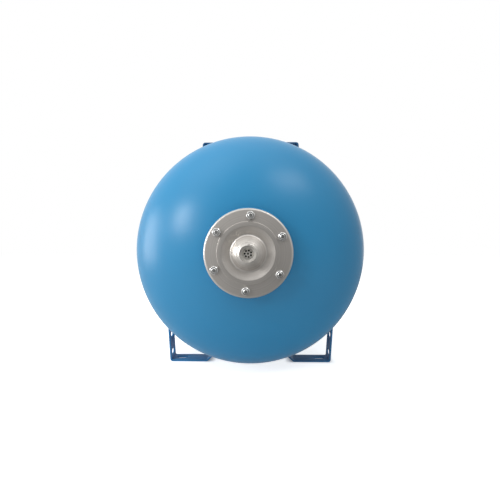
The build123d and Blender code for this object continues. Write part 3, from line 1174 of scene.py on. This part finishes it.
@dataclass
class Strips:
    """The four bent strip feet and two pump brackets, with the welds that hold them."""

    finishes: Finishes
    radius: float = 225.0
    width: float = 40.0
    sheet: float = 3.0
    bend: float = 6.0
    broken_edge: float = 0.35
    trim: float = 150.0
    spread: float = 172.0
    toe: float = 93.0
    lean: float = 3.5
    toe_angle: float = 42.0
    foot_stations: Point = (-114.5, 120.5)
    base_slot: Point = (24.0, 10.0)
    base_slot_place: float = 150.0
    leg_slot: Point = (22.0, 12.0)
    leg_slot_heights: Point = (17.0, 55.0)
    half_width: float = 107.0
    top: float = 480.0
    bracket_lean: float = 4.5
    bracket_stations: Point = (-68.0, 74.0)
    bracket_slot: Point = (36.0, 10.0)
    bracket_slot_place: float = 70.0
    weld_radius: float = 2.75
    weld_inset: float = 2.0

    def strip(self, name: str, line: list[Point], station: float) -> Piece:
        """Bent strip trimmed by the barrel.

        Args:
            name: name of the piece.
            line: closed outline of its section in X and Z.
            station: middle of its width along Y.

        Returns:
            The trimmed strip.
        """
        near = station - self.width / 2
        piece = prism(name, [spot(x, near, z) for x, z in line], spot(0, self.width, 0))
        drill(piece, self.radius, -self.trim, self.trim, steps=384, centre=TANK_AXIS)
        return piece

    def meeting(self, start: Point, along: Vector) -> Point:
        """Where a line in X and Z first meets the barrel.

        Args:
            start: a point of the line, outside the barrel.
            along: its direction, of length one.

        Returns:
            The point in millimetres.
        """
        across, up = start[0], start[1] - AXIS_HEIGHT
        half = across * along.x + up * along.y
        rest = across * across + up * up - self.radius * self.radius
        reach = -half - math.sqrt(half * half - rest)
        return (start[0] + along.x * reach, start[1] + along.y * reach)

    def foot(self) -> Piece:
        """Builds the left front foot with its slots and broken edges."""
        station = self.foot_stations[0]
        slope = math.tan(math.radians(self.lean))
        toe_rise = self.toe * math.tan(math.radians(self.toe_angle))
        line = rounded(
            [
                (-self.spread - AXIS_HEIGHT * slope, AXIS_HEIGHT, 0),
                (-self.spread, 0, self.bend),
                (-self.toe, 0, self.bend),
                (0, toe_rise, 0),
            ]
        )
        piece = self.strip("strip_foot_front_left", walled(line, self.sheet), station)
        slot = [spot(x - self.base_slot_place, y + station, -1) for x, y in capsule(*self.base_slot)]
        carve(piece, prism("slot", slot, spot(0, 0, self.sheet + 2)))
        for height in self.leg_slot_heights:
            across = -self.spread - height * slope - self.sheet
            slot = [spot(across, y + station, z + height) for y, z in capsule(*self.leg_slot)]
            carve(piece, prism("slot", slot, spot(3 * self.sheet, 0, 0)))
        soften(piece, self.broken_edge)
        return piece

    def bracket(self) -> Piece:
        """Builds the front pump bracket with its slots and broken edges."""
        station = self.bracket_stations[0]
        flare = (self.top - AXIS_HEIGHT) * math.tan(math.radians(self.bracket_lean))
        line = rounded(
            [
                (-self.half_width - flare, AXIS_HEIGHT, 0),
                (-self.half_width, self.top, self.bend),
                (self.half_width, self.top, self.bend),
                (self.half_width + flare, AXIS_HEIGHT, 0),
            ]
        )
        piece = self.strip("strip_bracket_front", walled(line, -self.sheet), station)
        below = self.top - self.sheet - 2
        for across in (-self.bracket_slot_place, self.bracket_slot_place):
            slot = [spot(x + across, y + station, below) for x, y in capsule(*self.bracket_slot)]
            carve(piece, prism("slot", slot, spot(0, 0, self.sheet + 5)))
        soften(piece, self.broken_edge)
        return piece

    def build(self) -> None:
        """Builds one foot and one bracket and sets copies and welds at their places."""
        front, rear = self.foot_stations
        flip = Matrix.Diagonal((-1.0, 1.0, 1.0, 1.0))
        foot = self.foot()
        back = shift(0, rear - front, 0)
        feet = {
            "foot_front_left": foot,
            "foot_front_right": copy_of(foot, "strip_foot_front_right", flip),
            "foot_rear_left": copy_of(foot, "strip_foot_rear_left", back),
            "foot_rear_right": copy_of(foot, "strip_foot_rear_right", back @ flip),
        }
        for node, piece in feet.items():
            dress(piece, self.finishes.foot, stands_for=[node])
        front, rear = self.bracket_stations
        bracket = self.bracket()
        twin = copy_of(bracket, "strip_bracket_rear", shift(0, rear - front, 0))
        # The brackets take the darker enamel, whose tone is painted shade and not a different paint.
        dress(bracket, self.finishes.bracket, stands_for=["pump_bracket_front"])
        dress(twin, self.finishes.bracket, stands_for=["pump_bracket_rear"])
        self.welds()

    def welds(self) -> None:
        """Builds one bead and sets a copy where each strip meets the barrel."""
        rope = weld_rope("rope", self.weld_radius, self.width - 2 * self.weld_inset)
        lean, toe_angle = math.radians(self.lean), math.radians(self.toe_angle)
        outer = self.meeting((-self.spread, 0), Vector((-math.sin(lean), math.cos(lean))))
        inner = self.meeting((-self.toe, 0), Vector((math.cos(toe_angle), math.sin(toe_angle))))
        lean = math.radians(self.bracket_lean)
        side = self.meeting((-self.half_width, self.top), Vector((-math.sin(lean), -math.cos(lean))))
        seats = {
            "foot_weld_outer": (outer, self.foot_stations, "foot_paint", self.finishes.foot),
            "foot_weld_inner": (inner, self.foot_stations, "foot_paint", self.finishes.foot),
            "bracket_weld": (side, self.bracket_stations, "bracket_paint", self.finishes.bracket),
        }
        for name, ((across, up), stations, slot, paint) in seats.items():
            for end, station in zip(("front", "rear"), stations):
                for hand in Side:
                    seat = shift(-hand.value * across, station, up)
                    bead = copy_of(rope, f"{name}_{end}_{hand.name.lower()}", seat)
                    dress(bead, paint, sharp=60)
        bpy.data.objects.remove(rope)


@dataclass
class AirValve:
    """Air valve on the rear head: welded boss, stem, spring, dust cap and guard cap."""

    finishes: Finishes
    apex: float = 295.5
    boss_radius: float = 14.0
    boss_bore: float = 6.1
    boss_end: float = 303.5
    boss_weld: float = 3.0
    seat: float = 305.0
    grip_flats: float = 17.0
    grip_end: float = 310.0
    neck_radius: float = 5.0
    neck_end: float = 317.0
    stem_end: float = 326.0
    stem_root: float = 3.45
    stem_crest: float = 3.85
    stem_pitch: float = 0.79
    pin_travel: float = 1.3
    dust_radius: float = 5.23
    dust_bore: float = 3.93
    dust_rib: float = 0.35
    guard_end: float = 332.5
    guard_floor: float = 295.1
    guard_radius: float = 28.0
    guard_wall: float = 2.0
    guard_rib: float = 0.8
    sleeve_mouth: float = 298.8

    def build(self) -> None:
        """Builds and dresses the valve and its caps."""
        self.boss()
        self.stem()
        self.spring()
        self.dust_cap()
        self.guard_cap()

    def boss(self) -> None:
        """Builds the turned boss and the weld round it."""
        inside = self.apex - 6
        outline = rounded(
            [
                (inside, self.boss_bore, 0),
                (self.boss_end, self.boss_bore, 0.5),
                (self.boss_end, self.boss_radius, 1),
                (inside, self.boss_radius, 0),
            ],
            30,
        )
        boss = turned("turned_boss", outline, 72)
        dress(boss, self.finishes.vessel, stands_for=["valve_boss"])
        toe, foot, top = self.boss_radius + self.boss_weld, self.apex - 0.3, self.apex + 2.7
        outline = [
            (self.apex - 1.5, self.boss_radius - 0.4),
            (self.apex - 0.6, toe),
            *bulged((foot, toe), (top, self.boss_radius), (0.35, 0.35)),
            (top, self.boss_radius - 0.4),
        ]
        weld = rippled(
            "boss_fillet_weld",
            outline,
            rise=0.15,
            count=40,
            proud=lambda station, radius: radius > self.boss_radius + 0.3 and station > self.apex,
        )
        dress(weld, self.finishes.vessel, sharp=60)

    def stem(self) -> None:
        """Builds the brass stem with its hexagon, neck and cap thread."""
        seat, root, neck = self.seat, self.stem_root, self.neck_radius
        grip = hexagon("stem_grip", self.grip_flats, seat, self.grip_end, face_share=0.95)
        drill(grip, neck - 1, seat - 2, self.grip_end + 2, steps=48)
        soften(grip, 0.2)
        shank, bore, passage = 6.0, 2.6, 1.6
        inner_end, bore_floor = seat - 10, self.stem_end - 18.6
        outline = [
            (inner_end, passage),
            (inner_end, shank - 0.4),
            (inner_end + 0.4, shank),
            (seat + 0.5, shank),
            (self.grip_end - 0.5, neck),
            (self.neck_end - 0.8, neck),
            (self.neck_end, neck - 0.8),
            (self.neck_end, root),
            (self.stem_end - 0.4, root),
            (self.stem_end, root - 0.4),
            (self.stem_end, bore),
            (bore_floor, bore),
            (bore_floor, passage),
        ]
        body = turned("stem_body", outline, 48, centre=BENCH_AXIS)
        thread_start = self.neck_end + 0.8
        ridge = thread_ridge(
            "stem_thread", root, self.stem_crest, self.stem_pitch, thread_start, turns=9.5, steps=30
        )
        stem = raised(join([body, grip, ridge]), "turned_stem")
        dress(stem, self.finishes.brass, stands_for=["valve_stem"])

    def spring(self) -> None:
        """Copies the coiled spring at rest; nothing here shortens it by the pin's travel."""
        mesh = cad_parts["valve_spring"].data.copy()
        coil = bpy.data.objects.new("coiled_spring", mesh)
        bpy.context.collection.objects.link(coil)
        make_active(coil)
        bpy.ops.object.mode_set(mode="EDIT")
        close_mesh()
        dress(coil, self.finishes.spring, stands_for=["valve_spring"])
        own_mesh(coil)

    def dust_cap(self) -> None:
        """Builds the small cap with its grip flutes."""
        end, start = self.stem_end + 2.1, self.neck_end + 0.3
        roof, side = end - 1.8, self.dust_radius - self.dust_rib
        outline = rounded(
            [
                (roof, 0, 0),
                (roof, self.dust_bore, 0),
                (start, self.dust_bore, 0),
                (start, side, 0.3),
                (end, side, 0.8),
                (end, 0, 0),
            ],
            22,
        )
        cap = spun("dust_cap_body", outline, 60)
        near, far, rise = start + 0.4, end - 1.2, self.dust_rib
        line = rounded([(near, 0, 0), (near, rise, 0.2), (far, rise, 0.2), (far, 0, 0)], 45)
        rib = spun("dust_rib", line, 8)
        whole = raised(ribbed(cap, rib, count=20, radius=side - 0.01), "ribbed_dust_cap")
        dress(whole, self.finishes.cap, "dust_cap", ["valve_dust_cap"])

    def guard_cap(self) -> None:
        """Builds the guard cap with its ribbed skirt, dished end and inner sleeve."""
        end, floor, wall = self.guard_end, self.guard_floor, self.guard_wall
        skirt = self.guard_radius - self.guard_rib
        sleeve, mouth = self.boss_radius + 0.08, self.sleeve_mouth
        dish_radius, dish_depth = 19.5, 0.6
        outline = rounded(
            [
                (end - wall, 0, 0),
                (end - wall, sleeve, 0),
                (mouth, sleeve, 0.4),
                (mouth, sleeve + wall, 0.4),
                (end - wall, sleeve + wall, 0.5),
                (end - wall, skirt - wall, 1),
                (floor, skirt - wall, 0.4),
                (floor, skirt, 0.5),
                (end, skirt, 2.2),
                (end, dish_radius, 0.8),
                (end - dish_depth, dish_radius - 0.8, 0.8),
                (end - dish_depth, 0, 0),
            ],
            22,
        )
        cap = spun("guard_cap_body", outline, 120)
        near, far, rise = floor + 3, end - 3, self.guard_rib
        line = rounded([(near, 0, 0), (near, rise, 0.7), (far, rise, 0.7), (far, 0, 0)], 30)
        rib = spun("guard_rib", line, 14)
        whole = raised(ribbed(cap, rib, count=24, radius=skirt), "ribbed_guard_cap")
        dress(whole, self.finishes.cap, "guard_cap", ["valve_guard_cap"])


@dataclass(frozen=True)
class Lamp:
    """Soft lamp: its place, the point it faces and its size in metres, and its power in watts."""

    name: str
    place: Corner
    aim: Corner
    size: Point
    power: float
    mirrored: bool = True

    def hang(self) -> None:
        """Hangs the lamp."""
        bpy.ops.object.light_add(type="AREA", location=self.place)
        lamp = bpy.context.object
        lamp.name = self.name
        lamp.data.shape = "RECTANGLE"
        lamp.data.size, lamp.data.size_y = self.size
        lamp.visible_glossy = self.mirrored
        lamp.data.energy = self.power
        facing = Vector(self.aim) - Vector(self.place)
        lamp.rotation_euler = facing.to_track_quat("-Z", "Y").to_euler()


@dataclass
class Studio:
    """Pale floor, soft lamps, a graded hood for the metal to mirror, and the camera."""

    camera_place: Corner = (14.25, -878.5, 263.86)
    camera_aim: Corner = (-0.01965, 1.0, -0.03176)
    lens: float = 25.205
    surround: float = 0.25
    floor_size: float = 9.0
    floor_glow: float = 0.8
    floor_bounce: float = 0.15
    # Reach of the painted contact shade in the floor's glow, in millimetres.
    painted_shade_reach: float = 12.0
    hood_radius: float = 2.9
    hood_foot: float = 0.004
    hood_back: float = 1.6
    hood_middle: Corner = (0.0, -0.3, 0.24)
    hood_lit_way: Corner = (-0.5, 0.0, 0.87)
    hood_level: float = 0.78
    hood_slope: float = 0.48
    hood_dark: float = 0.7
    hood_dark_power: float = 6.0
    lamps: tuple[Lamp, ...] = (
        Lamp("key_lamp", (-1.15, -1.1, 2.2), (0.0, -0.25, 0.3), (1.4, 1.4), 37.0, mirrored=False),
        Lamp("top_lamp", (0.0, -0.2, 2.45), (0.0, -0.2, 0.3), (1.6, 1.6), 24.0, mirrored=False),
        Lamp("window_lamp", (-1.55, -1.5, 0.95), (-0.12, -0.27, 0.3), (0.3, 0.55), 10.0),
        Lamp("upper_lamp", (0.97, -1.47, 1.97), (0.07, -0.26, 0.37), (0.9, 0.6), 6.0),
        Lamp("side_lamp", (-1.9, -0.35, 0.4), (-0.18, -0.24, 0.26), (0.8, 1.0), 12.0),
    )

    def build(self) -> None:
        """Sets up the stage, the light and the camera."""
        self.floor()
        self.hood()
        self.world()
        for lamp in self.lamps:
            lamp.hang()
        self.camera()
        bpy.context.scene.view_settings.view_transform = "Standard"

    def bare_tree(self, owner: bpy.types.Material | bpy.types.World) -> bpy.types.NodeTree:
        """Gives a material or the world an empty node tree.

        Args:
            owner: the material or world.

        Returns:
            Its node tree.
        """
        owner.use_nodes = True
        owner.node_tree.nodes.clear()
        return owner.node_tree

    def seen_level(self, tree: bpy.types.NodeTree, unseen: float, seen: float) -> bpy.types.NodeSocket:
        """Level of a glow that the camera and reflections see brighter than diffuse light does.

        Args:
            tree: the node tree.
            unseen: level that lights the tank.
            seen: level to the camera, in reflections and through glass.

        Returns:
            The level for each ray.
        """
        rays = add_node(tree, "ShaderNodeLightPath")
        any_ray = rays.outputs["Is Camera Ray"]
        for kind in ("Is Transmission Ray", "Is Glossy Ray"):
            both = {0: any_ray, 1: rays.outputs[kind]}
            any_ray = add_node(tree, "ShaderNodeMath", both, operation="MAXIMUM").outputs[0]
        ends = {"Value": any_ray, "To Min": unseen, "To Max": seen}
        return add_node(tree, "ShaderNodeMapRange", ends).outputs[0]

    def floor(self) -> None:
        """Builds the floor: white to the camera and in reflections, with the tank's shadow kept and a
        painted contact shade that dims its glow under the feet and in their slots.
        """
        bpy.ops.object.select_all(action="DESELECT")
        bpy.ops.mesh.primitive_plane_add(size=self.floor_size)
        floor = bpy.context.object
        floor.name = "studio_floor"
        material = bpy.data.materials.new("pale_floor")
        tree = self.bare_tree(material)
        matt = add_node(tree, "ShaderNodeBsdfDiffuse", {"Color": colour("E6E6E6")})
        level = self.seen_level(tree, self.floor_bounce, self.floor_glow)
        # Ambient occlusion dims the floor's glow near the tank: painted shade under the soles and in the
        # slots, on top of the real shadow.
        painted_contact_shade = add_node(
            tree, "ShaderNodeAmbientOcclusion", {"Distance": self.painted_shade_reach * MM}, samples=8
        )
        shaded = {0: level, 1: painted_contact_shade.outputs["AO"]}
        kept = add_node(tree, "ShaderNodeMath", shaded, operation="MULTIPLY")
        glow = add_node(tree, "ShaderNodeEmission", {"Strength": kept.outputs[0]})
        lit = add_node(tree, "ShaderNodeAddShader", {0: matt.outputs[0], 1: glow.outputs[0]})
        add_node(tree, "ShaderNodeOutputMaterial", {"Surface": lit.outputs[0]})
        floor.data.materials.append(material)

    def hood(self) -> None:
        """Hangs a graded grey hood round the camera's side, which only reflections see."""
        bpy.ops.object.select_all(action="DESELECT")
        bpy.ops.mesh.primitive_uv_sphere_add(segments=48, ring_count=24, radius=self.hood_radius)
        hood = bpy.context.object
        hood.name = "reflection_hood"
        bpy.ops.object.mode_set(mode="EDIT")
        foot, back = (0, 0, self.hood_foot), (0, self.hood_back, 0)
        for plane, normal, filled in ((foot, (0, 0, -1), True), (back, (0, 1, 0), False)):
            bpy.ops.mesh.select_all(action="SELECT")
            bpy.ops.mesh.bisect(plane_co=plane, plane_no=normal, clear_outer=True, use_fill=filled)
        bpy.ops.object.mode_set(mode="OBJECT")
        material = bpy.data.materials.new("graded_hood")
        tree = self.bare_tree(material)
        places = add_node(tree, "ShaderNodeTexCoord").outputs["Object"]
        away = add_node(
            tree, "ShaderNodeVectorMath", {0: places, 1: self.hood_middle}, operation="SUBTRACT"
        )
        way = add_node(tree, "ShaderNodeVectorMath", {0: away.outputs[0]}, operation="NORMALIZE")
        lit_side, facing = (
            add_node(tree, "ShaderNodeVectorMath", {0: way.outputs[0], 1: to}, operation="DOT_PRODUCT")
            for to in (self.hood_lit_way, (0.0, -1.0, 0.0))
        )
        powers = {0: facing.outputs["Value"], 1: self.hood_dark_power}
        front = add_node(tree, "ShaderNodeMath", powers, operation="POWER")
        sides = {0: lit_side.outputs["Value"], 1: self.hood_slope, 2: self.hood_level}
        graded = add_node(tree, "ShaderNodeMath", sides, operation="MULTIPLY_ADD")
        darker = {0: front.outputs[0], 1: -self.hood_dark, 2: graded.outputs[0]}
        level = add_node(tree, "ShaderNodeMath", darker, operation="MULTIPLY_ADD")
        glow = add_node(tree, "ShaderNodeEmission", {"Strength": level.outputs[0]})
        add_node(tree, "ShaderNodeOutputMaterial", {"Surface": glow.outputs[0]})
        hood.data.materials.append(material)
        hood.visible_camera = hood.visible_diffuse = False
        hood.visible_shadow = hood.visible_transmission = False

    def world(self) -> None:
        """Sets a plain white surround that lights the tank softly."""
        world = bpy.data.worlds.new("studio_surround")
        bpy.context.scene.world = world
        tree = self.bare_tree(world)
        level = self.seen_level(tree, self.surround, 1.0)
        white = {"Color": (1, 1, 1, 1), "Strength": level}
        light = add_node(tree, "ShaderNodeBackground", white)
        add_node(tree, "ShaderNodeOutputWorld", {"Surface": light.outputs[0]})

    def camera(self) -> None:
        """Sets the camera at the photograph's viewpoint."""
        bpy.ops.object.camera_add(location=spot(*self.camera_place))
        camera = bpy.context.object
        camera.rotation_euler = Vector(self.camera_aim).to_track_quat("-Z", "Y").to_euler()
        camera.data.lens = self.lens
        camera.data.sensor_width = 36.0
        camera.data.clip_start = 0.01
        bpy.context.scene.camera = camera


def main() -> None:
    """Builds the tank piece by piece, then the studio round it."""
    logging.basicConfig(level=logging.INFO, format="%(message)s")
    finishes = Finishes()
    for part in (Vessel, CoverFlange, Strips, AirValve):
        part(finishes).build()
    dress_solids(finishes)
    Studio().build()


if __name__ == "__main__":
    main()
